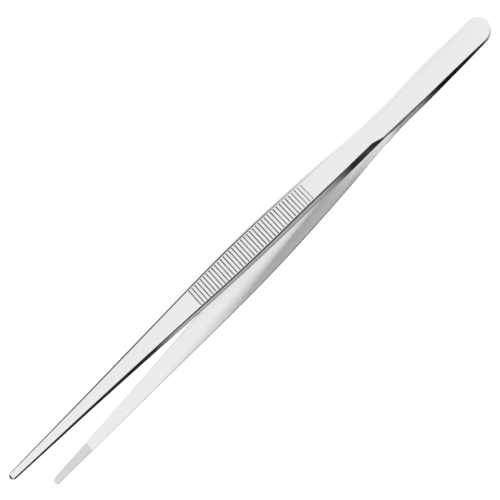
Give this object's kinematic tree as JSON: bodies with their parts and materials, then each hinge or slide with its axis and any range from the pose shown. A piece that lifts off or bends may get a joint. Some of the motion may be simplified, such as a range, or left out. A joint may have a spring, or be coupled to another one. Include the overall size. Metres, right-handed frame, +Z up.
{
  "type": "cooking tweezers",
  "caption": "Long straight kitchen tweezers: sprung steel arms welded at a round heel, ribbed grips, bevelled jaws and fine cross-cut tips.",
  "frame": {"origin": "under the middle of the length and midway between the arms, on the surface that the tweezers lie on", "axes": "+X from the welded heel to the tips, +Y from the right arm to the left arm, +Z up across the width of the arms"},
  "size_m": [0.3, 0.0464, 0.0147],
  "materials": {
    "polished_steel": "polished stainless steel with a faint lengthwise grain, matte and cross-cut inside the tips",
    "weld_steel": "fused stainless steel, hidden between the leaves"
  },
  "bodies": {
    "heel": {"left_spring_leaf": "polished_steel", "right_spring_leaf": "polished_steel", "weld_nuggets": "weld_steel"},
    "left_arm": {"left_arm": "polished_steel"},
    "right_arm": {"right_arm": "polished_steel"}
  },
  "joints": [
    {"name": "left_arm_flex", "type": "hinge", "parent": "heel", "child": "left_arm", "pos_m": [-0.105, 0.00149, 0.00735], "axis": [0, 0, -1], "range_deg": [0, 4.98], "stiffness_Nm_per_rad": 8.5},
    {"name": "right_arm_flex", "type": "hinge", "parent": "heel", "child": "right_arm", "pos_m": [-0.105, -0.00149, 0.00735], "axis": [0, 0, 1], "range_deg": [0, 4.98], "stiffness_Nm_per_rad": 8.5}
  ]
}
